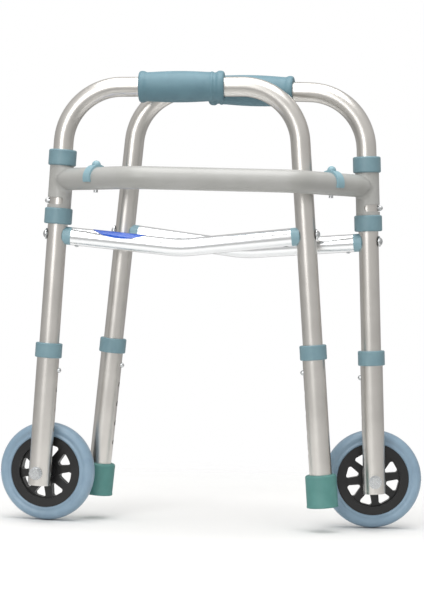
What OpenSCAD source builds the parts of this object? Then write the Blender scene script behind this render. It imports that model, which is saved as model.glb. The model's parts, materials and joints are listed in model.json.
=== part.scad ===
// Folding walking frame with two front wheels, standing folded.
// Each side frame turns on a hinge sleeve at the end of the cross bar. The inner
// (left) side frame lies just behind the cross bar, and the outer (right) one behind that.
// Millimetres, +Z up, front towards -Y, origin on the floor under the middle of the object.

/* [Layout] */
// Distance between the two fold axes at hinge height
hinge_spacing = 394; // [390:1:400]
// Height above the floor of the point that all leg lengths are measured from
hinge_height = 432; // [431:0.5:433]
// Inward lean of both front legs, in degrees
front_lean = 2.8; // [2.6:0.1:3]
// Lean of each leg from its side frame's own middle line, in degrees
leg_splay = 3.85; // [3.75:0.05:3.95]
// Distance between the two legs of a side frame at hinge height
leg_spacing = 311.5; // [309:0.5:313]
// Folded angle of the inner (left) side frame, negative towards the cross bar
inner_fold = -4; // [-5:0.25:-4]
// Folded angle of the outer (right) side frame, positive away from the cross bar
outer_fold = 9; // [9:0.25:10]
// Angle of a side frame to the hinge line when the frame is open
open_fold = 100; // [98:0.5:100]

/* [Side tube] */
// Outside diameter of the bent side tube
tube_d = 25.4; // [25:0.1:25.4]
// Wall of every tube
wall = 1.5; // [1.2:0.1:1.6]
// Height of the top bar above hinge height
top_rise = 127.5; // [126:0.5:130]
// Centre line radius of the two top bends
top_bend_r = 75; // [70:1:78]
// Depth below hinge height to which the side tube reaches inside the lower legs
side_tube_drop = 256; // [252:1:258]

/* [Hand grips] */
// Length of a hand grip
grip_len = 109; // [106:1:112]
// Diameter of its end flanges
grip_flange_d = 40.6; // [40:0.2:42]
// Diameter at the swelling in the middle
grip_belly_d = 40; // [39:0.2:40.4]
// Diameter of the necks beside the flanges
grip_neck_d = 37; // [36:0.2:38]

/* [Cross bar] */
// Outside diameter of the bowed cross bar
cross_d = 28.6; // [28:0.2:29]
// Height of its centre line above hinge height
cross_rise = 9; // [7:1:11]
// Depth of the bow in front of the hinges
bow_depth = 100; // [98:1:102]
// Angle of the arms to the straight middle, in degrees
arm_angle = 46; // [45:1:47]
// Centre line radius of the two bends
cross_bend_r = 38; // [36:1:40]

/* [Hinge sleeves] */
// Outside diameter of a sleeve
sleeve_d = 30.5; // [30:0.1:31]
// Height of the sleeve's top end above hinge height
sleeve_top = 42; // [41:0.5:43]
// Depth of the sleeve's bottom end below hinge height
sleeve_drop = 43.5; // [42.5:0.5:44]
// Outside diameter of the plastic collars that cap the sleeve
hinge_collar_d = 35.6; // [35:0.2:36]
// Height of a collar
hinge_collar_h = 20.5; // [19:0.5:21]
// Depth below hinge height of the slot in which the fold button runs
fold_slot_drop = 19; // [18:0.5:19.5]
// Height of that slot
fold_slot_h = 9; // [9:0.5:10]

/* [Braces] */
// Outside diameter of the brace between the two legs
brace_d = 23; // [22.4:0.2:23.2]
// Depth of the brace's ends below hinge height
brace_drop = 62; // [62:0.5:64]
// Downward slope of each half of the brace, in degrees
brace_slope = 5.8; // [5.5:0.1:6.1]
// Centre line radius of the bend in its middle
brace_bend_r = 140; // [120:5:160]

/* [Lower legs] */
// Outside diameter of the sliding lower leg tubes
leg_d = 28.6; // [28.6:0.1:29]
// Depth of the top of the leg collars below hinge height
leg_collar_drop = 201.5; // [200:0.5:203]
// Height of a leg collar
leg_collar_h = 19; // [18:0.5:20]
// Outside diameter of a leg collar
leg_collar_d = 34.4; // [34:0.2:35]
// Depth of the height buttons below hinge height
height_button_drop = 236; // [234:0.5:237]
// Distance between the height holes
height_pitch = 25.4; // [25.4:0.1:25.6]
// Number of height holes in each lower leg
height_holes = 5; // [5:1:6]
// Diameter of a snap button
button_d = 6.6; // [6:0.2:7]
// Depth of the bottom of the front legs below hinge height
front_leg_drop = 385; // [384:1:386]
// Depth of the bottom of the rubber tips below hinge height
tip_drop = 408; // [406:1:410]
// Height of a rubber tip
tip_h = 41.5; // [40:0.5:42]
// Diameter of a rubber tip at its foot
tip_d = 40.5; // [40:0.1:41]

/* [Wheels] */
// Diameter over the tyre
wheel_d = 127; // [125:1:127]
// Width of the tyre
tyre_w = 23; // [22:1:24]
// Diameter of the hub's rim, on which the tyre sits
rim_d = 93; // [92:1:94]
// Angle between the wheels and their side frame's plane, which makes them run straight
wheel_toe = 10; // [8:0.5:10]
// Number of windows in the hub
windows = 8; // [6:1:9]
// Diameter of the axle bolt
axle_d = 8; // [8:0.1:8.2]

/* [Hidden] */
$fn = 64;

// Radii
tube_r = tube_d / 2;
tube_bore = tube_r - wall;
leg_r = leg_d / 2;
leg_bore = leg_r - wall;
sleeve_r = sleeve_d / 2;
sleeve_bore = sleeve_r - 1.8;
cross_r = cross_d / 2;
brace_r = brace_d / 2;
brace_bore = brace_r - wall;
button_r = button_d / 2;
wheel_r = wheel_d / 2;
rim_r = rim_d / 2;
axle_r = axle_d / 2;
running_gap = 0.06;

// A bent tube swells very slightly in its bends, and its straight runs lap into them
bend_swell = 0.02;
lap = 0.2;

// The axle stands on the front leg where the tyre just meets the floor
axle_drop = (hinge_height - wheel_r) / cos(front_lean);

// The side tube's corners and the lengths between its bends
corner_s = leg_spacing / 2 - top_rise * tan(leg_splay);
top_turn = 90 - leg_splay;
top_tangent = top_bend_r * tan(top_turn / 2);
bend_start = top_rise / cos(leg_splay) - top_tangent;
top_half = corner_s - top_tangent;

// The cross bar's ends stand on the fold axes
hinge_x = hinge_spacing / 2 - cross_rise * tan(front_lean);
cross_corner = hinge_x - bow_depth / tan(arm_angle);
cross_tangent = cross_bend_r * tan(arm_angle / 2);
arm_len = bow_depth / sin(arm_angle) - cross_tangent;
clip_reach = 70;

// The brace's ends on the leg axes
brace_leg_s = leg_spacing / 2 + brace_drop * tan(leg_splay);
brace_half = brace_leg_s / cos(brace_slope);
brace_tangent = brace_bend_r * tan(brace_slope);
brace_start = tube_r + 3;
plug_flange = 3.2;
plug_saddle = 8.4;
label_middle = 80;
label_len = 68;
label_w = 22;

// The wheel, from the leg outwards
wheel_gap = 3;
bush_start = leg_r + wheel_gap;
bush_len = tyre_w + 2;
wheel_mid = bush_start + bush_len / 2;
washer_t = 1.5;
nut_start = bush_start + bush_len + 0.3 + washer_t;

// Fold button directions in each hinge, from the rear leg of the folded frame
slot_open_angle = 274;
slot_folded_angle = 164;
fold_button_turn = slot_open_angle - open_fold;

// Middle of the whole object over the floor, which becomes the origin
middle_x = 3.7;
middle_y = -18.5;

// ---- places -------------------------------------------------------------

module left_hinge()
  translate([-hinge_spacing / 2 - middle_x, -middle_y, hinge_height])
    rotate([0, front_lean, 0]) children();

module right_hinge()
  translate([hinge_spacing / 2 - middle_x, -middle_y, hinge_height])
    mirror([1, 0, 0]) rotate([0, front_lean, 0]) children();

// Side frame places: X runs from the front leg to the rear leg, Y to the wheel's side
module left_side()
  left_hinge() rotate([0, 0, inner_fold]) rotate([0, -leg_splay, 0])
    translate([leg_spacing / 2, 0, 0]) children();

module right_side()
  right_hinge() rotate([0, 0, outer_fold]) rotate([0, -leg_splay, 0])
    translate([leg_spacing / 2, 0, 0]) children();

// Leg places: Z runs up the leg, X points at the other leg
module on_front_leg()
  translate([-leg_spacing / 2, 0, 0]) rotate([0, leg_splay, 0]) children();

module on_rear_leg()
  mirror([1, 0, 0]) on_front_leg() children();

module on_both_legs() {
  on_front_leg() children();
  on_rear_leg() children();
}

// Brace ends: origin on the leg axis, X along the brace
module at_brace_ends()
  for (side = [0, 1]) mirror([side, 0, 0])
    translate([-brace_leg_s, 0, -brace_drop]) rotate([0, brace_slope, 0]) children();

// The axle: Z runs along it, from the leg's middle outwards past the wheel
module on_axle()
  on_front_leg() translate([0, 0, -axle_drop]) rotate([0, 0, -wheel_toe])
    rotate([-90, 0, 0]) children();

// ---- shapes -------------------------------------------------------------

module ring(r, bore) difference() { circle(r); circle(bore); }

module tube(r, bore, len) linear_extrude(len) ring(r, bore);

module tube_x(r, bore, len) rotate([0, 90, 0]) tube(r, bore, len);

module rod_x(r, len) rotate([0, 90, 0]) cylinder(r = r, h = len);

module ball_button(shaft_end) {
  // a shaft with a ball end, lying along +X
  rotate([0, 90, 0]) translate([0, 0, 8.6]) cylinder(r = button_r, h = shaft_end - 8.6);
  translate([shaft_end, 0, 0]) sphere(r = button_r);
  rotate([0, 90, 0]) translate([0, 0, 8.2]) cylinder(r = button_r + 1.1, h = 1.3);
}

module leaf_spring() {
  // a U-shaped leaf whose long arm backs the button
  reach = 8.7;
  rotate([90, 0, 0]) translate([-0.6, 0, -3.5]) linear_extrude(7) {
    translate([reach - 0.6, -30]) square([0.6, 38]);
    translate([-reach, -30]) square([0.6, 38]);
    translate([0, -30]) intersection() {
      ring(reach, reach - 0.6);
      translate([-reach, -reach]) square([2 * reach, reach]);
    }
  }
}

module collar(r, bore, seat_r, seat_h, h, edge) {
  // a collar whose bore carries a tube and whose wider seat holds another
  rotate_extrude() difference() {
    union() {
      translate([0, edge]) square([r, h - 2 * edge]);
      square([r - edge, h]);
      for (z = [edge, h - edge]) translate([r - edge, z]) circle(edge, $fn = 32);
    }
    square([bore, h]);
    square([seat_r, seat_h]);
  }
}

module dome_bolt(head_r, head_h, shank_r, shank_len) {
  // head below the origin plane, shank along +Z
  translate([0, 0, -1.2]) cylinder(r = head_r + 1.4, h = 1.2);
  difference() {
    translate([0, 0, -1.2]) intersection() {
      sphere_r = (head_r * head_r + head_h * head_h) / (2 * head_h);
      translate([0, 0, sphere_r - head_h]) sphere(r = sphere_r);
      translate([0, 0, -head_h]) cylinder(r = head_r, h = head_h);
    }
    translate([0, 0, -1.2 - head_h]) cylinder(r = 2.1, h = 1.6, $fn = 6);
  }
  cylinder(r = shank_r, h = shank_len);
}

module rounded_triangle(points, r) {
  // circles on three corners and the band that joins them
  n = 3;
  for (p = points) translate(p) circle(r, $fn = 32);
  polygon([for (i = [0 : n - 1]) let (a = points[i], b = points[(i + 1) % n],
    side = [b[1] - a[1], a[0] - b[0]] / norm(b - a) * r) each [a + side, b + side]]);
}

// ---- cross bar ----------------------------------------------------------

module cross_bar_run(r, past_end) {
  straight = cross_corner - cross_tangent;
  translate([-straight - lap, -bow_depth, 0]) rod_x(r, 2 * (straight + lap));
  for (side = [0, 1]) mirror([side, 0, 0]) {
    translate([straight, cross_bend_r - bow_depth, 0]) rotate([0, 0, -90])
      rotate_extrude(angle = arm_angle) translate([cross_bend_r, 0]) circle(r + bend_swell);
    translate([cross_corner, -bow_depth, 0]) rotate([0, 0, arm_angle])
      translate([cross_tangent - lap, 0, 0]) rod_x(r, arm_len + lap + past_end);
  }
}

module cross_bar() color("darkgray") difference() {
  translate([-middle_x, -middle_y, hinge_height + cross_rise]) difference() {
    cross_bar_run(cross_r, 0);
    cross_bar_run(cross_r - wall, 10);
  }
  left_hinge() translate([0, 0, -60]) cylinder(r = sleeve_r + 0.05, h = 120);
  right_hinge() translate([0, 0, -60]) cylinder(r = sleeve_r + 0.05, h = 120);
  clip_places() translate([0, 0, -30]) cylinder(r = 2.8, h = 60);
}

// Half way along each arm, X along the arm
module clip_places()
  for (side = [0, 1])
    translate([-middle_x, -middle_y, hinge_height + cross_rise]) mirror([side, 0, 0])
      translate([-hinge_x, 0, 0]) rotate([0, 0, -arm_angle])
        translate([clip_reach, 0, 0]) children();

module hinge_sleeve() difference() {
  // the slot's band is a touch lower than its round ends, so that their walls cross
  band_h = fold_slot_h - 0.2;
  translate([0, 0, -sleeve_drop]) tube(sleeve_r, sleeve_bore, sleeve_drop + sleeve_top);
  translate([0, 0, -fold_slot_drop]) {
    rotate([0, 0, slot_folded_angle])
      rotate_extrude(angle = slot_open_angle - slot_folded_angle)
        translate([sleeve_bore - 2, -band_h / 2]) square([6, band_h]);
    for (a = [slot_folded_angle, slot_open_angle]) rotate([0, 0, a])
      translate([sleeve_bore - 3, 0, 0]) rotate([0, 90, 0]) cylinder(d = fold_slot_h, h = 8);
  }
}

module upper_hinge_collar() color("lightslategray")
  translate([0, 0, sleeve_top + 5 - hinge_collar_h])
    collar(hinge_collar_d / 2, tube_r + running_gap, sleeve_r + 0.02,
      hinge_collar_h - 5, hinge_collar_h, 2);

module lower_hinge_collar() color("lightslategray")
  translate([0, 0, hinge_collar_h - 5 - sleeve_drop]) mirror([0, 0, 1])
    collar(hinge_collar_d / 2, tube_r + running_gap, sleeve_r + 0.02,
      hinge_collar_h - 5, hinge_collar_h, 2);

module bar_clip(which) color("lightsteelblue") intersection() {
  clip_places() difference() {
    union() {
      rotate([0, 90, 0]) translate([0, 0, -6]) difference() {
        cylinder(r = cross_r + 2.8, h = 12);
        translate([cross_r * 0.35, -30, -1]) cube([30, 60, 14]);
      }
      translate([0, 0, cross_r]) cylinder(r = 5.6, h = 2.6);
      translate([0, 0, cross_r + 2.6]) sphere(r = 5.6);
    }
    rotate([0, 90, 0]) translate([0, 0, -20]) cylinder(r = cross_r + 0.05, h = 40);
    translate([0, 0, -30]) cylinder(r = 2.8, h = 30 + cross_r + 4);
  }
  translate([which * 500 - 500, -500, 0]) cube([500, 1000, 1000]);
}

module bar_clip_rivets() color("silver") clip_places() {
  translate([0, 0, -cross_r - 3.4]) cylinder(r = 2.75, h = 2 * cross_r + 6.9);
  translate([0, 0, -cross_r - 3.4]) cylinder(r1 = 1.9, r2 = 2.75, h = 1);
}

// ---- side frame ---------------------------------------------------------

module side_tube_run(r, past_end) {
  on_both_legs() translate([0, 0, -side_tube_drop - past_end])
    cylinder(r = r, h = side_tube_drop + past_end + bend_start + lap);
  for (side = [0, 1]) mirror([side, 0, 0])
    translate([-top_half, 0, top_rise - top_bend_r]) rotate([90, 0, 0])
      rotate([0, 0, 90]) rotate_extrude(angle = top_turn)
        translate([top_bend_r, 0]) circle(r + bend_swell);
  translate([-top_half - lap, 0, top_rise]) rod_x(r, 2 * (top_half + lap));
}

module side_tube() color("gainsboro") difference() {
  side_tube_run(tube_r, 0);
  side_tube_run(tube_bore, 10);
  at_brace_ends() rotate([0, 90, 0]) translate([0, 0, -20]) cylinder(r = 3.1, h = 40);
  on_both_legs() translate([0, 0, -height_button_drop]) rotate([0, 90, 0])
    cylinder(r = button_r + 0.08, h = 20);
}

module side_tube_with_fold_hole(turn) color("gainsboro") difference() {
  side_tube();
  on_front_leg() translate([0, 0, -fold_slot_drop]) rotate([0, 0, turn]) rotate([0, 90, 0])
    cylinder(r = button_r + 0.08, h = 20);
}

module grip() color("cadetblue") {
  flange_r = grip_flange_d / 2;
  neck_r = grip_neck_d / 2;
  swell = (grip_belly_d - grip_neck_d) / 2;
  flange_w = 9;
  body_start = flange_w + 2;
  body_end = grip_len - 18.6;
  steps = 16;
  translate([-grip_len / 2, 0, top_rise]) rotate([0, 90, 0]) difference() {
    rotate_extrude() polygon(concat(
      [[5, 0], [flange_r - 2, 0], [flange_r - 0.6, 0.6], [flange_r, 2],
       [flange_r, flange_w - 2], [flange_r - 0.6, flange_w - 0.6], [neck_r, body_start]],
      [for (i = [1 : steps]) [neck_r + swell * sin(180 * i / steps),
        body_start + (body_end - body_start) * i / steps]],
      [[neck_r + 0.9, body_end + 1.2], [neck_r + 0.9, body_end + 3.2], [neck_r - 0.4, body_end + 4.6],
       [neck_r - 0.4, body_end + 8], [flange_r - 0.6, grip_len - 8.4], [flange_r, grip_len - 7],
       [flange_r, grip_len - 2], [flange_r - 2, grip_len], [5, grip_len]]));
    translate([0, 0, -1]) cylinder(r = tube_r + 0.02, h = grip_len + 2);
  }
}

module brace_run(r, past_end) {
  start = brace_start + plug_flange - past_end;
  at_brace_ends() translate([start, 0, 0]) rod_x(r, brace_half - brace_tangent - start + lap);
  translate([0, 0, brace_bend_z()]) rotate([90, 0, 0]) rotate([0, 0, -90 - brace_slope])
    rotate_extrude(angle = 2 * brace_slope, $fn = 360)
      translate([brace_bend_r, 0]) circle(r + bend_swell, $fn = 64);
}

module brace() color("silver") difference() {
  brace_run(brace_r, 0);
  brace_run(brace_bore, 10);
  at_brace_ends() brace_rivet_place() translate([0, 0, -4]) cylinder(r = 1.65, h = 8);
}

// Height of the centre of the brace's middle bend
function brace_bend_z() = -brace_drop - brace_leg_s * tan(brace_slope)
  + brace_bend_r / cos(brace_slope);

// Underneath the brace, near its end, Z pointing down and out
module brace_rivet_place()
  translate([brace_start + plug_flange + 8, 0, 0]) rotate([180, 0, 0])
    translate([0, 0, brace_r]) children();

module brace_plugs() color("lightsteelblue") at_brace_ends() difference() {
  union() {
    translate([plug_saddle, 0, 0]) rod_x(brace_r, brace_start + plug_flange - plug_saddle);
    rotate([0, 90, 0]) cylinder(r = brace_bore - 0.02, h = brace_start + plug_flange + 24);
  }
  rotate([0, -brace_slope + leg_splay, 0]) translate([0, 0, -30])
    cylinder(r = tube_r + 0.02, h = 60);
  rotate([0, 90, 0]) cylinder(r = 3.05, h = brace_start + plug_flange + 30);
  translate([brace_start + 12, -5.1, -5.1]) cube([5.2, 10.2, 30]);
  brace_rivet_place() translate([0, 0, -brace_r / 2 - 1]) cylinder(r = 1.65, h = 12);
}

module brace_bolts() color("silver") at_brace_ends()
  translate([-tube_r - 0.6, 0, 0]) rotate([0, 90, 0])
    dome_bolt(5.6, 3.6, 3, 2 * tube_r + 3.6 + plug_flange + 16);

module brace_nuts() color("silver") at_brace_ends() difference() {
  translate([brace_start + 12.1, -5, -5]) cube([5, 10, 10]);
  rotate([0, 90, 0]) cylinder(r = 3.02, h = 60);
}

module brace_rivets() color("silver") at_brace_ends() brace_rivet_place() {
  translate([0, 0, -brace_r / 2]) cylinder(r = 1.6, h = brace_r / 2 + 0.3);
  intersection() {
    translate([0, 0, -2.2]) sphere(r = 4);
    translate([0, 0, 0.3]) cylinder(r = 3, h = 4);
  }
}

module brace_label() color("royalblue")
  left_side() translate([-brace_leg_s, 0, -brace_drop]) rotate([0, brace_slope, 0])
    intersection() {
      translate([label_middle - label_len / 2 - 2, 0, 0])
        tube_x(brace_r + 0.3, brace_r + 0.02, label_len + 4);
      translate([label_middle, 0, 0]) scale([label_len / label_w, 1, 1])
        cylinder(d = label_w, h = 30);
    }

module fold_button(turn) color("silver")
  on_front_leg() translate([0, 0, -fold_slot_drop]) rotate([0, 0, turn])
    ball_button(sleeve_r + 0.6);

module height_button() color("silver")
  translate([0, 0, -height_button_drop]) ball_button(leg_r + 0.4);

module button_springs(turn) color("gray") {
  on_front_leg() translate([0, 0, -fold_slot_drop]) rotate([0, 0, turn]) leaf_spring();
  on_both_legs() translate([0, 0, -height_button_drop]) mirror([0, 0, 1]) leaf_spring();
}

// ---- lower legs ---------------------------------------------------------

module lower_leg(drop) difference() {
  translate([0, 0, -drop]) tube(leg_r, leg_bore, drop - leg_collar_drop - 4.5);
  for (i = [0 : height_holes - 1])
    translate([0, 0, -height_button_drop - i * height_pitch]) rotate([0, 90, 0])
      cylinder(r = button_r + 0.3, h = 20);
}

module front_leg() color("gainsboro") difference() {
  on_front_leg() lower_leg(front_leg_drop);
  on_axle() translate([0, 0, -20]) cylinder(r = axle_r + 0.02, h = 40);
}

module rear_leg() color("gainsboro") on_rear_leg() lower_leg(tip_drop - 6);

module leg_collar() color("lightslategray")
  translate([0, 0, -leg_collar_drop - leg_collar_h])
    collar(leg_collar_d / 2, tube_r + running_gap, leg_r + 0.02,
      leg_collar_h - 4.5, leg_collar_h, 1.6);

module tip() color("cadetblue") on_rear_leg() translate([0, 0, -tip_drop]) {
  foot_r = tip_d / 2;
  rotate_extrude() difference() {
    polygon([[0, 0], [foot_r - 0.6, 0], [foot_r, 0.6], [foot_r, 2.4], [foot_r - 0.4, 3],
      [foot_r - 0.4, tip_h - 3], [foot_r - 1.2, tip_h - 0.9], [foot_r - 3, tip_h], [0, tip_h]]);
    translate([0, 6]) square([leg_r + 0.02, tip_h]);
  }
}

// ---- wheels -------------------------------------------------------------

module tyre() color("lightslategray") on_axle() translate([0, 0, wheel_mid])
  rotate_extrude() difference() {
    union() {
      translate([0, -tyre_w / 2]) square([wheel_r - 7, tyre_w]);
      translate([0, -tyre_w / 2 + 7]) square([wheel_r, tyre_w - 14]);
      for (z = [-1, 1]) translate([wheel_r - 7, z * (tyre_w / 2 - 7)]) circle(7, $fn = 48);
    }
    translate([0, -tyre_w]) square([rim_r + 0.02, 2 * tyre_w]);
  }

module wheel_hub(turn) color("dimgray") on_axle() translate([0, 0, wheel_mid]) difference() {
  union() {
    translate([0, 0, -tyre_w / 2 + 1.5]) tube(rim_r, 35.5, tyre_w - 3);
    translate([0, 0, -5]) cylinder(r = 36, h = 10);
    translate([0, 0, -bush_len / 2 + 0.4]) cylinder(r = 12.5, h = bush_len - 0.8);
  }
  translate([0, 0, -30]) cylinder(r = 7.02, h = 60);
  for (i = [0 : windows - 1]) rotate([0, 0, turn + i * 360 / windows])
    translate([0, 0, -10]) linear_extrude(20)
      rounded_triangle([[21.5, 0], [31, -4.6], [31, 4.6]], 3);
}

module axle_bush() color("white") on_axle()
  translate([0, 0, bush_start]) tube(7, axle_r + running_gap, bush_len);

module axle_bolt() color("silver") on_axle() {
  translate([0, 0, -leg_r - 7.6]) cylinder(r = 7.5, h = 5.4, $fn = 6);
  translate([0, 0, -leg_r - 2.2]) cylinder(r = axle_r, h = leg_r + 2.2 + nut_start + 8.5);
}

module axle_washers() color("silver") on_axle() {
  translate([0, 0, -leg_r - 2.2]) washer(8.5, 2);
  translate([0, 0, leg_r + 0.2]) washer(8.5, wheel_gap - 0.5);
  translate([0, 0, nut_start - washer_t]) washer(8.5, washer_t);
}

module washer(r, t) tube(r, axle_r + 0.02, t);

module axle_nut() color("silver") on_axle() translate([0, 0, nut_start]) difference() {
  union() {
    cylinder(r = 7.5, h = 5.4, $fn = 6);
    cylinder(r = 6, h = 7.6);
  }
  translate([0, 0, -1]) cylinder(r = axle_r + 0.02, h = 12);
}

// ---- nodes --------------------------------------------------------------

cross_bar();
color("darkgray") left_hinge() hinge_sleeve();  // left_hinge_sleeve
color("darkgray") right_hinge() hinge_sleeve();  // right_hinge_sleeve
left_hinge() upper_hinge_collar();  // left_upper_hinge_collar
left_hinge() lower_hinge_collar();  // left_lower_hinge_collar
right_hinge() upper_hinge_collar();  // right_upper_hinge_collar
right_hinge() lower_hinge_collar();  // right_lower_hinge_collar
bar_clip(0);  // left_bar_clip
bar_clip(1);  // right_bar_clip
bar_clip_rivets();
left_side() side_tube_with_fold_hole(fold_button_turn);  // left_side_tube
right_side() side_tube_with_fold_hole(fold_button_turn);  // right_side_tube
left_side() grip();  // left_grip
right_side() grip();  // right_grip
left_side() brace();  // left_brace
right_side() brace();  // right_brace
left_side() brace_plugs();  // left_brace_plugs
right_side() brace_plugs();  // right_brace_plugs
left_side() brace_bolts();  // left_brace_bolts
right_side() brace_bolts();  // right_brace_bolts
left_side() brace_nuts();  // left_brace_nuts
right_side() brace_nuts();  // right_brace_nuts
left_side() brace_rivets();  // left_brace_rivets
right_side() brace_rivets();  // right_brace_rivets
brace_label();
left_side() fold_button(fold_button_turn);  // left_fold_button
right_side() fold_button(fold_button_turn);  // right_fold_button
left_side() on_front_leg() height_button();  // left_front_height_button
right_side() on_front_leg() height_button();  // right_front_height_button
left_side() on_rear_leg() height_button();  // left_rear_height_button
right_side() on_rear_leg() height_button();  // right_rear_height_button
left_side() button_springs(fold_button_turn);  // left_button_springs
right_side() button_springs(fold_button_turn);  // right_button_springs
left_side() front_leg();  // left_front_leg
right_side() front_leg();  // right_front_leg
left_side() on_front_leg() leg_collar();  // left_front_leg_collar
right_side() on_front_leg() leg_collar();  // right_front_leg_collar
left_side() rear_leg();  // left_rear_leg
right_side() rear_leg();  // right_rear_leg
left_side() on_rear_leg() leg_collar();  // left_rear_leg_collar
right_side() on_rear_leg() leg_collar();  // right_rear_leg_collar
left_side() tip();  // left_tip
right_side() tip();  // right_tip
left_side() tyre();  // left_tyre
right_side() tyre();  // right_tyre
left_side() wheel_hub(12);  // left_wheel_hub
right_side() wheel_hub(28);  // right_wheel_hub
left_side() axle_bush();  // left_axle_bush
right_side() axle_bush();  // right_axle_bush
left_side() axle_bolt();  // left_axle_bolt
right_side() axle_bolt();  // right_axle_bolt
left_side() axle_washers();  // left_axle_washers
right_side() axle_washers();  // right_axle_washers
left_side() axle_nut();  // left_axle_nut
right_side() axle_nut();  // right_axle_nut
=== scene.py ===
import json
import math

import bmesh
import bpy
from mathutils import Matrix, Vector


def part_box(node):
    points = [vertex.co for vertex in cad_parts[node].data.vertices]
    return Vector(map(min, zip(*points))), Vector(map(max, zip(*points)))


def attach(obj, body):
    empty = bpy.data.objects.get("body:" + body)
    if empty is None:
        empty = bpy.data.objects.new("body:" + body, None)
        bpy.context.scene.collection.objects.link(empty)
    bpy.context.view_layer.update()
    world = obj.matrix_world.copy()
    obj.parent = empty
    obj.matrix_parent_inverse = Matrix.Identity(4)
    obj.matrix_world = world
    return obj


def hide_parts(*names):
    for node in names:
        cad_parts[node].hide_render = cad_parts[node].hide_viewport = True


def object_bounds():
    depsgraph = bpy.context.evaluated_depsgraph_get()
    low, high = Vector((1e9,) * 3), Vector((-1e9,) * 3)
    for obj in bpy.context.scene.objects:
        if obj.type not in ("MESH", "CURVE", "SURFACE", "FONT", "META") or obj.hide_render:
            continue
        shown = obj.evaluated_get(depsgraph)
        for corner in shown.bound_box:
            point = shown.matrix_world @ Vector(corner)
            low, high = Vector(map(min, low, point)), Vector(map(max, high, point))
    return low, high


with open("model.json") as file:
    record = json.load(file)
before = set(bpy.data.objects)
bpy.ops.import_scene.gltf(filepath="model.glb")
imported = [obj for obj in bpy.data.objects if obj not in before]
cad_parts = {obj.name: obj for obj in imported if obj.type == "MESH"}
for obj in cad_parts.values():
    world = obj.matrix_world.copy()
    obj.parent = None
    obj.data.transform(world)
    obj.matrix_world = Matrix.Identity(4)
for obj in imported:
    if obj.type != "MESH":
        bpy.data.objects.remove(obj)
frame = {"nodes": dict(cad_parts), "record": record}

cad_low, cad_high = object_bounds()


# ---- Studio --------------------------------------------------------------
# A white floor that fades into a white background, a tall soft box to the left of
# the camera, a wide one overhead, and even grey surroundings for the metal to reflect.
def srgb(colour):
    """A hex colour as the linear red, green, blue and alpha that shaders take."""
    channels = [int(colour[i:i + 2], 16) / 255 for i in (1, 3, 5)]
    return [c / 12.92 if c <= 0.04045 else ((c + 0.055) / 1.055) ** 2.4 for c in channels] + [1.0]


def add_node(tree, kind, settings=None, links=None):
    """Adds a node, sets its properties or sockets by name, and links sockets to sources."""
    node = tree.nodes.new("ShaderNode" + kind)
    for name, value in (settings or {}).items():
        if name in node.inputs:
            node.inputs[name].default_value = value
        else:
            setattr(node, name, value)
    for name, source in (links or {}).items():
        tree.links.new(source, node.inputs[name])
    return node


world = bpy.data.worlds.new("studio_surroundings")
bpy.context.scene.world = world
world.use_nodes = True
tree = world.node_tree
tree.nodes.clear()
direction = add_node(tree, "TexCoord").outputs["Generated"]
axes = add_node(tree, "SeparateXYZ", links={"Vector": direction})
height = add_node(tree, "MapRange", {"From Min": -1.0, "From Max": 1.0, "To Min": 0.30, "To Max": 0.80},
                  {"Value": axes.outputs["Z"]})
depth = add_node(tree, "MapRange", {"From Min": -1.0, "From Max": 1.0, "To Min": 1.15, "To Max": 0.75},
                 {"Value": axes.outputs["Y"]})
glow = add_node(tree, "Math", {"operation": "MULTIPLY"},
                {0: height.outputs["Result"], 1: depth.outputs["Result"]})
soft_grey = add_node(tree, "Background", {"Color": srgb("#FCFBFA")}, {"Strength": glow.outputs["Value"]})
white = add_node(tree, "Background", {"Color": srgb("#FFFFFF"), "Strength": 1.0})
seen = add_node(tree, "LightPath").outputs["Is Camera Ray"]
mixed = add_node(tree, "MixShader", links={0: seen, 1: soft_grey.outputs[0], 2: white.outputs[0]})
add_node(tree, "OutputWorld", links={"Surface": mixed.outputs[0]})

floor_paper = bpy.data.materials.new("matt_white_paper")
floor_paper.use_nodes = True
tree = floor_paper.node_tree
paper = tree.nodes["Principled BSDF"]
paper.inputs["Roughness"].default_value = 0.95
paper.inputs["Specular IOR Level"].default_value = 0.1
place = add_node(tree, "TexCoord").outputs["Object"]
fibres = add_node(tree, "TexNoise", {"Scale": 900.0}, {"Vector": place})
tint = add_node(tree, "ValToRGB", links={"Fac": fibres.outputs["Fac"]})
tint.color_ramp.elements[0].color = srgb("#E9E9E8")
tint.color_ramp.elements[1].color = srgb("#EEEEED")
tree.links.new(tint.outputs["Color"], paper.inputs["Base Color"])
distance = add_node(tree, "VectorMath", {"operation": "LENGTH"}, {0: place})
fade = add_node(tree, "MapRange", {"interpolation_type": "SMOOTHSTEP", "From Min": 0.34, "From Max": 0.9},
                {"Value": distance.outputs["Value"]})
clear = add_node(tree, "BsdfTransparent")
ending = add_node(tree, "MixShader",
                  links={0: fade.outputs["Result"], 1: paper.outputs[0], 2: clear.outputs[0]})
tree.links.new(ending.outputs[0], tree.nodes["Material Output"].inputs["Surface"])

FLOOR_RADIUS, FLOOR_GAP = 1.0, 0.0003
shape = bmesh.new()
bmesh.ops.create_circle(shape, cap_ends=True, segments=96, radius=FLOOR_RADIUS)
bmesh.ops.translate(shape, verts=shape.verts, vec=(0, 0, cad_low[2] - FLOOR_GAP))
mesh = bpy.data.meshes.new("studio_floor")
shape.to_mesh(mesh)
shape.free()
floor = bpy.data.objects.new("studio_floor", mesh)
floor.data.materials.append(floor_paper)
bpy.context.scene.collection.objects.link(floor)

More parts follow.
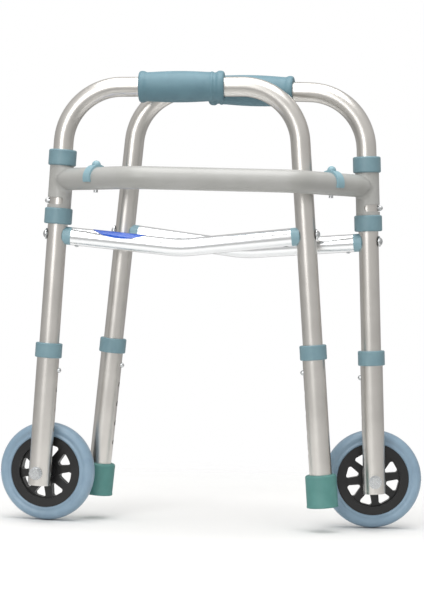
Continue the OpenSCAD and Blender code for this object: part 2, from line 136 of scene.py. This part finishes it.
# Each soft box: its name, place, width and height in metres, and power in watts.
OBJECT_MIDDLE = Vector((0, 0, 0.33))
SOFT_BOXES = (("tall_soft_box", Vector((-0.95, -2.2, 1.30)), 1.2, 1.9, 20.0),
              ("overhead_soft_box", Vector((0.0, -0.35, 2.30)), 2.0, 2.0, 40.0))
for name, spot, width, tall, power in SOFT_BOXES:
    light = bpy.data.lights.new(name, "AREA")
    light.shape = "RECTANGLE"
    light.size, light.size_y, light.energy = width, tall, power
    lamp = bpy.data.objects.new(name, light)
    lamp.location = spot
    lamp.rotation_euler = (OBJECT_MIDDLE - spot).to_track_quat("-Z", "Y").to_euler()
    bpy.context.scene.collection.objects.link(lamp)

# The camera's place in metres, and its turns in degrees: to the side, up and over.
CAMERA_PLACE = Vector((0.0272, -2.4815, 0.3297))
CAMERA_YAW, CAMERA_PITCH, CAMERA_ROLL = -0.75, -0.90, 1.40
CAMERA_FOCAL = 116.83
CAMERA_SHIFT = (0.00375, 0.0004)
yaw, pitch, roll = (math.radians(a) for a in (CAMERA_YAW, CAMERA_PITCH, CAMERA_ROLL))
ahead = Vector((math.sin(yaw) * math.cos(pitch), math.cos(yaw) * math.cos(pitch), math.sin(pitch)))
level = Vector((math.cos(yaw), -math.sin(yaw), 0))
above = level.cross(ahead)
right = math.cos(roll) * level + math.sin(roll) * above
up = math.cos(roll) * above - math.sin(roll) * level
camera = bpy.data.objects.new("camera", bpy.data.cameras.new("camera"))
camera.data.lens = CAMERA_FOCAL
camera.data.shift_x, camera.data.shift_y = CAMERA_SHIFT
camera.matrix_world = Matrix.Translation(CAMERA_PLACE) @ Matrix((right, up, -ahead)).transposed().to_4x4()
bpy.context.scene.collection.objects.link(camera)
bpy.context.scene.camera = camera
bpy.context.scene.view_settings.view_transform = "Standard"


# ---- Cross bar and hinge sleeves ------------------------------------------
# The bowed bar and the two sleeves at its ends are mild steel tube, welded together
# and powder coated in satin grey. The coat has a fine orange peel of about 1 mm.
SIDES = ("left", "right")
GREY_DARK, GREY_LIGHT = "#A3A39F", "#ABABA8"
ORANGE_PEEL_PER_M = 900.0

grey_coat = bpy.data.materials.new("satin_grey_powder_coat")
grey_coat.use_nodes = True
tree = grey_coat.node_tree
shader = tree.nodes["Principled BSDF"]
shader.inputs["Coat Weight"].default_value = 0.35
shader.inputs["Coat Roughness"].default_value = 0.22
place = add_node(tree, "TexCoord").outputs["Object"]
drift = add_node(tree, "TexNoise", {"Scale": 25.0, "Detail": 2.0}, {"Vector": place})
tint = add_node(tree, "ValToRGB", links={"Fac": drift.outputs["Fac"]})
tint.color_ramp.elements[0].position, tint.color_ramp.elements[1].position = 0.35, 0.65
tint.color_ramp.elements[0].color, tint.color_ramp.elements[1].color = srgb(GREY_DARK), srgb(GREY_LIGHT)
tree.links.new(tint.outputs["Color"], shader.inputs["Base Color"])
sheen = add_node(tree, "MapRange", {"To Min": 0.36, "To Max": 0.46}, {"Value": drift.outputs["Fac"]})
tree.links.new(sheen.outputs["Result"], shader.inputs["Roughness"])
peel = add_node(tree, "TexNoise", {"Scale": ORANGE_PEEL_PER_M, "Detail": 1.0}, {"Vector": place})
relief = add_node(tree, "Bump", {"Strength": 0.12, "Distance": 0.00005}, {"Height": peel.outputs["Fac"]})
tree.links.new(relief.outputs["Normal"], shader.inputs["Normal"])


def coat(node, material):
    """A part keeps its exact shape and takes a material."""
    part = frame["nodes"][node]
    for slot in part.material_slots:
        slot.link = "OBJECT"
        slot.material = material


def place_piece(name, shape, material, body, stands_for=()):
    """A finished mesh goes in the scene with its material, riding on its body."""
    for face in shape.faces:
        face.smooth = True
    mesh = bpy.data.meshes.new(name)
    shape.to_mesh(mesh)
    shape.free()
    piece = bpy.data.objects.new(name, mesh)
    piece.data.materials.append(material)
    bpy.context.scene.collection.objects.link(piece)
    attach(piece, body)
    if stands_for:
        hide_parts(*stands_for)
    return piece


coat("cross_bar", grey_coat)
for side in SIDES:
    coat(side + "_hinge_sleeve", grey_coat)

# The weld between bar and sleeve, ground smooth into a hollow fillet before coating.
# It runs where the end of the arm meets the sleeve.
joints = {joint["name"]: joint for joint in frame["record"]["behaviour"]["joints"]}
BAR_R, SLEEVE_R = 0.0143, 0.01525
BAR_RISE = 0.009
ARM_ANGLE = math.radians(46)
FILLET = 0.0055
FILLET_TOP = 0.0262
WELD_PROUD = 0.00004
AROUND, ACROSS = 72, 6
for side in SIDES:
    hinge = Vector(joints[side + "_fold"]["pos_m"])
    post = Vector(joints[side + "_fold"]["axis"])
    post = post if post.z > 0 else -post
    inward = 1 if side == "left" else -1
    arm = Vector((inward * math.cos(ARM_ANGLE), -math.sin(ARM_ANGLE), 0))
    across_arm = Vector((0, 0, 1)).cross(arm)
    start = hinge + Vector((0, 0, BAR_RISE))
    shape = bmesh.new()
    loops = []
    for step in range(ACROSS + 1):
        t = step / ACROSS
        loop = bmesh.ops.create_circle(shape, cap_ends=False, segments=AROUND, radius=BAR_R)["verts"]
        for vert in loop:
            turn = math.atan2(vert.co.y, vert.co.x)
            out = math.cos(turn) * across_arm + math.sin(turn) * Vector((0, 0, 1))
            edge = start + BAR_R * out
            # how far along the arm this line leaves the sleeve
            offset = edge - hinge
            flat_arm = arm - arm.dot(post) * post
            flat_edge = offset - offset.dot(post) * post
            a, b = flat_arm.length_squared, flat_edge.dot(flat_arm)
            c = flat_edge.length_squared - SLEEVE_R ** 2
            along = (-b + math.sqrt(max(b * b - a * c, 0.0))) / a
            corner = edge + along * arm
            on_bar = corner + FILLET * arm + WELD_PROUD * out
            on_sleeve = corner + FILLET * out
            lift = (on_sleeve - hinge).dot(post)
            if lift > FILLET_TOP:
                on_sleeve -= (lift - FILLET_TOP) * post
                lift = FILLET_TOP
            axis_point = hinge + lift * post
            on_sleeve = axis_point + (on_sleeve - axis_point).normalized() * (SLEEVE_R + WELD_PROUD)
            vert.co = (1 - t) ** 2 * on_bar + 2 * t * (1 - t) * corner + t * t * on_sleeve
        loops.append([e for e in shape.edges if e.verts[0] in loop and e.verts[1] in loop])
    for first, second in zip(loops, loops[1:]):
        bmesh.ops.bridge_loops(shape, edges=first + second)
    bmesh.ops.recalc_face_normals(shape, faces=shape.faces)
    place_piece(side + "_bar_weld", shape, grey_coat, "front_frame")


# ---- Side tubes and lower legs ---------------------------------------------
# Aluminium tube, bent cold, blasted fine and clear anodised. It looks a warm satin
# silver, with an even gloss and a grain too fine to pick out.
ANODISED_DARK, ANODISED_LIGHT = "#D6D3CE", "#DDDAD5"
BLAST_GRAIN_PER_M = 2200.0

anodised = bpy.data.materials.new("satin_anodised_aluminium")
anodised.use_nodes = True
tree = anodised.node_tree
shader = tree.nodes["Principled BSDF"]
shader.inputs["Metallic"].default_value = 1.0
place = add_node(tree, "TexCoord").outputs["Object"]
drift = add_node(tree, "TexNoise", {"Scale": 30.0, "Detail": 3.0}, {"Vector": place})
tint = add_node(tree, "ValToRGB", links={"Fac": drift.outputs["Fac"]})
tint.color_ramp.elements[0].position, tint.color_ramp.elements[1].position = 0.35, 0.65
tint.color_ramp.elements[0].color = srgb(ANODISED_DARK)
tint.color_ramp.elements[1].color = srgb(ANODISED_LIGHT)
tree.links.new(tint.outputs["Color"], shader.inputs["Base Color"])
sheen = add_node(tree, "MapRange", {"To Min": 0.29, "To Max": 0.35}, {"Value": drift.outputs["Fac"]})
tree.links.new(sheen.outputs["Result"], shader.inputs["Roughness"])
grain = add_node(tree, "TexNoise", {"Scale": BLAST_GRAIN_PER_M, "Detail": 1.0}, {"Vector": place})
relief = add_node(tree, "Bump", {"Strength": 0.08, "Distance": 0.00002}, {"Height": grain.outputs["Fac"]})
tree.links.new(relief.outputs["Normal"], shader.inputs["Normal"])

for side in SIDES:
    for node in ("_side_tube", "_front_leg", "_rear_leg"):
        coat(side + node, anodised)


# ---- Braces ----------------------------------------------------------------
# A thinner aluminium tube between the legs, bent once in the middle and polished
# bright. It keeps the faint lengthwise lines of a drawn tube, drawn here 1 mm apart.
POLISHED_DARK, POLISHED_LIGHT = "#EEF0F2", "#F6F7F8"
DRAWN_LINES_PER_M = 1000.0

polished = bpy.data.materials.new("polished_aluminium")
polished.use_nodes = True
tree = polished.node_tree
shader = tree.nodes["Principled BSDF"]
shader.inputs["Metallic"].default_value = 1.0
place = add_node(tree, "TexCoord").outputs["Object"]
drawn = add_node(tree, "Mapping", {"Scale": (0.02, 1.0, 1.0)}, {"Vector": place})
lines = add_node(tree, "TexNoise", {"Scale": DRAWN_LINES_PER_M, "Detail": 2.0},
                 {"Vector": drawn.outputs["Vector"]})
tint = add_node(tree, "ValToRGB", links={"Fac": lines.outputs["Fac"]})
tint.color_ramp.elements[0].color = srgb(POLISHED_DARK)
tint.color_ramp.elements[1].color = srgb(POLISHED_LIGHT)
tree.links.new(tint.outputs["Color"], shader.inputs["Base Color"])
sheen = add_node(tree, "MapRange", {"To Min": 0.18, "To Max": 0.24}, {"Value": lines.outputs["Fac"]})
tree.links.new(sheen.outputs["Result"], shader.inputs["Roughness"])

for side in SIDES:
    coat(side + "_brace", polished)


# ---- Collars, bar clips and brace plugs --------------------------------------
# Injection moulded polypropylene: the collars in a darker blue-grey, the clips and
# the saddle-ended plugs in a lighter one. All have a fine spark-eroded mould texture.
def moulded(name, dark, light, roughness, grain_per_m=1400.0, grain_strength=0.2):
    """A moulded plastic or rubber: a soft mottle of two shades and an even fine grain."""
    material = bpy.data.materials.new(name)
    material.use_nodes = True
    tree = material.node_tree
    shader = tree.nodes["Principled BSDF"]
    place = add_node(tree, "TexCoord").outputs["Object"]
    mottle = add_node(tree, "TexNoise", {"Scale": 70.0, "Detail": 3.0}, {"Vector": place})
    tint = add_node(tree, "ValToRGB", links={"Fac": mottle.outputs["Fac"]})
    tint.color_ramp.elements[0].position, tint.color_ramp.elements[1].position = 0.3, 0.7
    tint.color_ramp.elements[0].color, tint.color_ramp.elements[1].color = srgb(dark), srgb(light)
    tree.links.new(tint.outputs["Color"], shader.inputs["Base Color"])
    sheen = add_node(tree, "MapRange", {"To Min": roughness - 0.05, "To Max": roughness + 0.05},
                     {"Value": mottle.outputs["Fac"]})
    tree.links.new(sheen.outputs["Result"], shader.inputs["Roughness"])
    grain = add_node(tree, "TexNoise", {"Scale": grain_per_m, "Detail": 2.0}, {"Vector": place})
    relief = add_node(tree, "Bump", {"Strength": grain_strength, "Distance": 0.00005},
                      {"Height": grain.outputs["Fac"]})
    tree.links.new(relief.outputs["Normal"], shader.inputs["Normal"])
    return material


collar_plastic = moulded("moulded_polypropylene_dark_blue_grey", "#6E8C96", "#76949D", 0.42)
clip_plastic = moulded("moulded_polypropylene_light_blue_grey", "#82A4AF", "#8AACB6", 0.42)
for side in SIDES:
    for node in ("_upper_hinge_collar", "_lower_hinge_collar", "_front_leg_collar", "_rear_leg_collar"):
        coat(side + node, collar_plastic)
    coat(side + "_bar_clip", clip_plastic)
    coat(side + "_brace_plugs", clip_plastic)


# ---- Bolts, rivets, buttons and springs ----------------------------------------
# Turned and pressed steel, bright zinc plated with a faint bloom. The snap buttons
# sit on leaf springs of blued strip inside the tubes.
zinc = bpy.data.materials.new("bright_zinc_plated_steel")
zinc.use_nodes = True
tree = zinc.node_tree
shader = tree.nodes["Principled BSDF"]
shader.inputs["Metallic"].default_value = 1.0
place = add_node(tree, "TexCoord").outputs["Object"]
bloom = add_node(tree, "TexNoise", {"Scale": 350.0, "Detail": 3.0}, {"Vector": place})
tint = add_node(tree, "ValToRGB", links={"Fac": bloom.outputs["Fac"]})
tint.color_ramp.elements[0].color, tint.color_ramp.elements[1].color = srgb("#BFC2C4"), srgb("#DADCDD")
tree.links.new(tint.outputs["Color"], shader.inputs["Base Color"])
sheen = add_node(tree, "MapRange", {"To Min": 0.2, "To Max": 0.34}, {"Value": bloom.outputs["Fac"]})
tree.links.new(sheen.outputs["Result"], shader.inputs["Roughness"])

spring_strip = bpy.data.materials.new("blued_spring_steel")
spring_strip.use_nodes = True
tree = spring_strip.node_tree
shader = tree.nodes["Principled BSDF"]
shader.inputs["Metallic"].default_value = 1.0
place = add_node(tree, "TexCoord").outputs["Object"]
rolled = add_node(tree, "TexNoise", {"Scale": 400.0, "Detail": 2.0}, {"Vector": place})
tint = add_node(tree, "ValToRGB", links={"Fac": rolled.outputs["Fac"]})
tint.color_ramp.elements[0].color, tint.color_ramp.elements[1].color = srgb("#7D828A"), srgb("#989DA4")
tree.links.new(tint.outputs["Color"], shader.inputs["Base Color"])
sheen = add_node(tree, "MapRange", {"To Min": 0.28, "To Max": 0.4}, {"Value": rolled.outputs["Fac"]})
tree.links.new(sheen.outputs["Result"], shader.inputs["Roughness"])

coat("bar_clip_rivets", zinc)
for side in SIDES:
    for node in ("_brace_bolts", "_brace_nuts", "_brace_rivets", "_fold_button", "_front_height_button",
                 "_rear_height_button", "_axle_bolt", "_axle_washers", "_axle_nut"):
        coat(side + node, zinc)
    coat(side + "_button_springs", spring_strip)


# ---- Hand grips ------------------------------------------------------------------
# Soft PVC sleeves, injection moulded and pushed onto the top bars. They swell in the
# middle, with a flange at each end and a bead and a neck before the inner one.
GRIP_BORE, GRIP_LENGTH = 0.01272, 0.109
GRIP_NECK, GRIP_SWELL = 0.0185, 0.0015
GRIP_OUTLINE_A = ((0.0, 0.0180), (0.0007, 0.0192), (0.0020, 0.0200), (0.0038, 0.0203), (0.0056, 0.0202),
                  (0.0074, 0.0197), (0.0090, 0.0190), (0.0104, 0.0186))
GRIP_OUTLINE_B = ((0.0915, 0.0187), (0.0923, 0.0192), (0.0935, 0.0194), (0.0947, 0.0191), (0.0955, 0.0184),
                  (0.0968, 0.0181), (0.0984, 0.0182), (0.0998, 0.0190), (0.1010, 0.0199), (0.1024, 0.0203),
                  (0.1050, 0.0203), (0.1070, 0.0199), (0.1083, 0.0190), (0.109, 0.0178))
GRIP_AROUND, GRIP_SWELL_STEPS = 96, 16


def turned(points, ring, centre, axis, steps):
    """An outline turned a full circle about an axis; a ring's last point joins its first."""
    shape = bmesh.new()
    verts = [shape.verts.new(point) for point in points]
    ends = verts[1:] + verts[:1] if ring else verts[1:]
    edges = [shape.edges.new(pair) for pair in zip(verts, ends)]
    bmesh.ops.spin(shape, geom=verts + edges, cent=centre, axis=axis, angle=2 * math.pi,
                   steps=steps, use_merge=True)
    bmesh.ops.remove_doubles(shape, verts=shape.verts, dist=1e-6)
    bmesh.ops.recalc_face_normals(shape, faces=shape.faces)
    return shape


grip_pvc = moulded("soft_pvc_blue_grey", "#5D7F8B", "#648793", 0.5, 900.0, 0.25)
for side in SIDES:
    front_leg = Vector(joints[side + "_front_height"]["axis"])
    rear_leg = Vector(joints[side + "_rear_height"]["axis"])
    along = (front_leg - rear_leg).normalized()
    low, high = (Vector(corner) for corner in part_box(side + "_grip"))
    middle = (low + high) / 2
    outline = list(GRIP_OUTLINE_A)
    swell_start = GRIP_OUTLINE_A[-1][0]
    swell_length = GRIP_OUTLINE_B[0][0] - swell_start
    for step in range(1, GRIP_SWELL_STEPS):
        t = step / GRIP_SWELL_STEPS
        outline.append((swell_start + t * swell_length, GRIP_NECK + GRIP_SWELL * math.sin(math.pi * t)))
    outline += GRIP_OUTLINE_B
    outline = [(0.0, GRIP_BORE)] + outline + [(GRIP_LENGTH, GRIP_BORE)]
    upright = (front_leg + rear_leg).normalized()
    points = [middle + (x - GRIP_LENGTH / 2) * along + r * upright for x, r in outline]
    shape = turned(points, True, middle, along, GRIP_AROUND)
    place_piece(side + "_hand_grip", shape, grip_pvc, side + "_side_frame",
                [side + "_grip"])


# ---- Rear tips ----------------------------------------------------------------------
# Moulded rubber cups pushed over the bottom ends of the rear legs: a plain cylinder
# with a rounded mouth and a flat sole whose edge shows the mould's parting line.
TIP_R, TIP_HEIGHT, TIP_BORE = 0.0199, 0.0415, 0.01433
SOLE_R, SOLE_THICK = 0.02025, 0.006
TIP_OUTLINE = ((0.0, 0.0), (0.0, SOLE_R - 0.0006), (0.0002, SOLE_R - 0.0002), (0.0006, SOLE_R),
               (0.0020, SOLE_R), (0.0023, SOLE_R - 0.0002), (0.0025, TIP_R), (0.0385, TIP_R),
               (0.0397, TIP_R - 0.0003), (0.0407, TIP_R - 0.0010), (0.0413, TIP_R - 0.0021),
               (TIP_HEIGHT, TIP_R - 0.0034), (TIP_HEIGHT, TIP_BORE),
               (SOLE_THICK, TIP_BORE), (SOLE_THICK, 0.0))

TIP_AROUND = 80
HARD_EDGE = math.radians(50)


def keep_hard_edges(shape):
    """Edges that turn by more than a hard edge's angle are shaded sharp."""
    for edge in shape.edges:
        edge.smooth = len(edge.link_faces) == 2 and edge.calc_face_angle(0.0) < HARD_EDGE


tip_rubber = moulded("moulded_rubber_sea_green", "#4A7D78", "#528580", 0.55, 1100.0, 0.3)
mounts = {mount["name"]: mount for mount in frame["record"]["mounts"]}
for side in SIDES:
    foot = Vector(mounts[side + "_tip_foot"]["pos_m"])
    leg = Vector(joints[side + "_rear_height"]["axis"])
    sideways = leg.orthogonal().normalized()
    points = [foot + z * leg + r * sideways for z, r in TIP_OUTLINE]
    shape = turned(points, False, foot, leg, TIP_AROUND)
    keep_hard_edges(shape)
    place_piece(side + "_rubber_tip", shape, tip_rubber, side + "_rear_leg", [side + "_tip"])


# ---- Wheels ---------------------------------------------------------------------------
# A black glass-filled nylon hub with eight windows, a smooth tyre of thermoplastic
# rubber moulded round its rim with a raised lip on each face, and a white acetal bush.
TYRE_R, TYRE_HALF, RIM_R = 0.0635, 0.0115, 0.04652
TYRE_OUTLINE = ((RIM_R, 0.0098), (0.0470, 0.0106), (0.0480, 0.0111), (0.0492, 0.0111), (0.0502, 0.0106),
                (0.0512, 0.0103), (0.0524, 0.0105), (0.0540, 0.0112), (0.0556, TYRE_HALF), (0.0572, 0.0113),
                (0.0590, 0.0105), (0.0606, 0.0092), (0.0620, 0.0072), (0.0630, 0.0046), (0.0634, 0.0022),
                (TYRE_R, 0.0))
TYRE_AROUND = 160

tyre_rubber = moulded("thermoplastic_rubber_blue_grey", "#7D95A8", "#869EB0", 0.3, 500.0, 0.06)
hub_nylon = moulded("glass_filled_nylon_black", "#0B0B0C", "#121213", 0.33, 900.0, 0.15)
bush_acetal = moulded("acetal_white", "#D8D8D3", "#E2E2DE", 0.35, 900.0, 0.1)
for side in SIDES:
    coat(side + "_wheel_hub", hub_nylon)
    coat(side + "_axle_bush", bush_acetal)
    centre = Vector(joints[side + "_wheel_spin"]["pos_m"])
    axle = Vector(joints[side + "_wheel_spin"]["axis"])
    spoke = axle.orthogonal().normalized()
    outline = list(TYRE_OUTLINE) + [(r, -w) for r, w in reversed(TYRE_OUTLINE[:-1])]
    points = [centre + w * axle + r * spoke for r, w in outline]
    shape = turned(points, True, centre, axle, TYRE_AROUND)
    keep_hard_edges(shape)
    place_piece(side + "_moulded_tyre", shape, tyre_rubber, side + "_wheel",
                [side + "_tyre"])


# ---- Label -----------------------------------------------------------------------------
# A plain oval of glossy blue film, laid over the top of the left brace near its front
# leg, half of it showing from the front.
LABEL_HALF_LENGTH, LABEL_HALF_ANGLE = 0.034, math.radians(74)
BRACE_R, FILM_PROUD, FILM_THICKNESS = 0.0115, 0.00025, 0.0002
LABEL_MIDDLE, LABEL_R = 0.080, BRACE_R + FILM_PROUD
BRACE_DROP, BRACE_SLOPE = 0.062, math.radians(5.8)

label_film = bpy.data.materials.new("gloss_blue_film")
label_film.use_nodes = True
tree = label_film.node_tree
shader = tree.nodes["Principled BSDF"]
shader.inputs["Roughness"].default_value = 0.25
shader.inputs["Coat Weight"].default_value = 0.5
place = add_node(tree, "TexCoord").outputs["Object"]
ink = add_node(tree, "TexNoise", {"Scale": 500.0, "Detail": 2.0}, {"Vector": place})
tint = add_node(tree, "ValToRGB", links={"Fac": ink.outputs["Fac"]})
tint.color_ramp.elements[0].color, tint.color_ramp.elements[1].color = srgb("#0A52C0"), srgb("#0D5ACB")
tree.links.new(tint.outputs["Color"], shader.inputs["Base Color"])

front_leg = Vector(joints["left_front_height"]["axis"])
rear_leg = Vector(joints["left_rear_height"]["axis"])
upright = (front_leg + rear_leg).normalized()
level = (front_leg - rear_leg).normalized()
away = upright.cross(level)
brace_end = Vector(joints["left_fold"]["pos_m"]) - front_leg * (BRACE_DROP / front_leg.dot(upright))
brace_way = math.cos(BRACE_SLOPE) * level - math.sin(BRACE_SLOPE) * upright
brace_up = math.cos(BRACE_SLOPE) * upright + math.sin(BRACE_SLOPE) * level
shape = bmesh.new()
bmesh.ops.create_grid(shape, x_segments=48, y_segments=24, size=1.0)
for vert in shape.verts:
    # squeezes the square grid into a disc, then wraps the disc round the tube
    u, v = vert.co.x, vert.co.y
    u, v = u * math.sqrt(1 - v * v / 2), v * math.sqrt(1 - u * u / 2)
    turn = v * LABEL_HALF_ANGLE
    vert.co = (brace_end + (LABEL_MIDDLE + u * LABEL_HALF_LENGTH) * brace_way
               + LABEL_R * (math.cos(turn) * brace_up + math.sin(turn) * away))
bmesh.ops.recalc_face_normals(shape, faces=shape.faces)
if shape.faces[:][len(shape.faces) // 2].normal.dot(brace_up) < 0:
    bmesh.ops.reverse_faces(shape, faces=shape.faces)
label = place_piece("oval_label", shape, label_film, "left_side_frame", ["brace_label"])
film = label.modifiers.new("film", "SOLIDIFY")
film.thickness = FILM_THICKNESS
film.offset = -1
